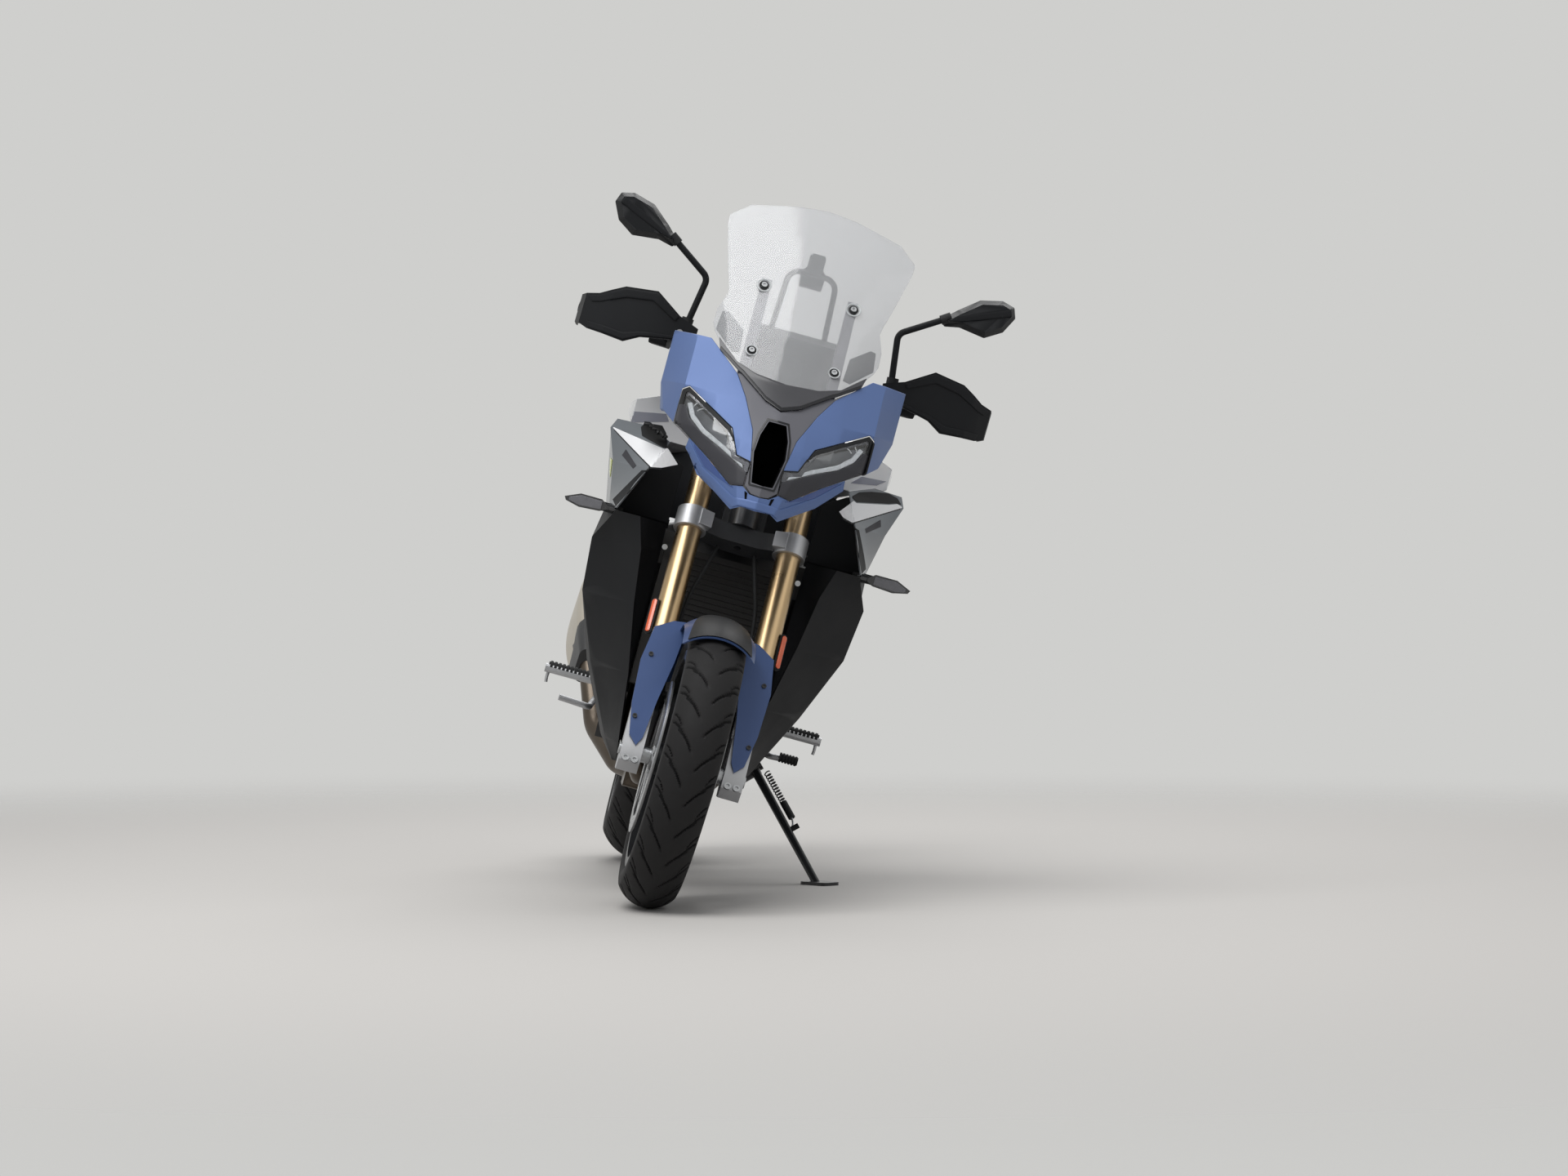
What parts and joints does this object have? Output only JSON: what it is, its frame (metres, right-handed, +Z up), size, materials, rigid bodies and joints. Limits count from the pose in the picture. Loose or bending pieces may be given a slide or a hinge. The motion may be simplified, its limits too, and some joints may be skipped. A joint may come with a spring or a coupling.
{
  "type": "sport touring motorcycle",
  "caption": "Sport touring motorcycle with half fairing, tall screen, hand guards and chain drive, leaning on its side stand.",
  "frame": {"origin": "on the ground, under the middle of the whole machine's bounding box as it stands parked", "axes": "+Z up, -Y the way the machine faces, +X to the rider's left; the machine leans towards +X on its side stand"},
  "size_m": [1.0124, 2.1424, 1.4951],
  "materials": {
    "tyre": "matte",
    "black_wheel": "satin",
    "disc": "brushed",
    "gold_tube": "anodised",
    "silver_casting": "satin",
    "black_casting": "satin",
    "steel": "satin",
    "rubber": "matte",
    "black_plastic": "matte",
    "blue_panel": "metallic satin",
    "white_panel": "gloss",
    "clear_screen": "clear",
    "lamp_lens": "clear",
    "red_lens": "tinted",
    "black_frame": "satin",
    "exhaust_steel": "satin",
    "champagne_cover": "satin",
    "seat_cover": "matte",
    "black_stand": "satin"
  },
  "bodies": {
    "chassis": {"main_frame": "black_frame", "engine": "black_casting", "swingarm": "black_frame", "rear_axle": "steel", "rear_caliper": "black_casting", "shock": "steel", "chain": "steel", "radiator": "black_casting", "exhaust_headers": "exhaust_steel", "silencer": "champagne_cover", "front_cowl": "blue_panel", "beak": "blue_panel", "nose_panel": "black_plastic", "headlights": "lamp_lens", "headlight_lenses": "lamp_lens", "front_carrier": "black_frame", "windscreen": "clear_screen", "dash": "black_plastic", "side_fairings": "white_panel", "inner_panels": "black_plastic", "lower_panels": "black_plastic", "tank_cover": "white_panel", "seats": "seat_cover", "subframe": "black_frame", "tail_fairing": "white_panel", "luggage_rack": "black_frame", "tail_lamp": "red_lens", "plate_carrier": "black_plastic", "turn_signals": "black_plastic", "rear_mudguard": "black_plastic", "foot_controls": "black_casting"},
    "steering": {"fork_tubes": "gold_tube", "fork_feet": "silver_casting", "front_axle": "steel", "front_calipers": "black_casting", "fork_clamps": "silver_casting", "clamp_collars": "silver_casting", "handlebar": "black_frame", "grips": "rubber", "switchgear": "black_plastic", "handguards": "black_plastic", "mirrors": "black_plastic", "front_fender": "blue_panel"},
    "front_wheel": {"front_tyre": "tyre", "front_rim": "black_wheel", "front_discs": "disc"},
    "rear_wheel": {"rear_tyre": "tyre", "rear_rim": "black_wheel", "rear_disc": "disc", "rear_sprocket": "steel"},
    "side_stand": {"side_stand": "black_stand"}
  },
  "joints": [
    {"name": "steering", "type": "hinge", "parent": "chassis", "child": "steering", "pos_m": [-0.02842, -0.40426, 0.98233], "axis": [0.2397, 0.4295, 0.8707], "range_deg": [-33.5, 30.5]},
    {"name": "front_wheel_spin", "type": "hinge", "parent": "steering", "child": "front_wheel", "pos_m": [-0.21808, -0.77128, 0.29102], "axis": [0.9608, 0.0239, -0.2763], "continuous": true},
    {"name": "rear_wheel_spin", "type": "hinge", "parent": "chassis", "child": "rear_wheel", "pos_m": [-0.21323, 0.75069, 0.31269], "axis": [0.9641, 0.0003, -0.2656], "continuous": true},
    {"name": "side_stand_fold", "type": "hinge", "parent": "chassis", "child": "side_stand", "pos_m": [-0.03723, 0.04976, 0.25045], "axis": [0.8701, -0.0437, 0.491], "range_deg": [0, 113.77]}
  ]
}
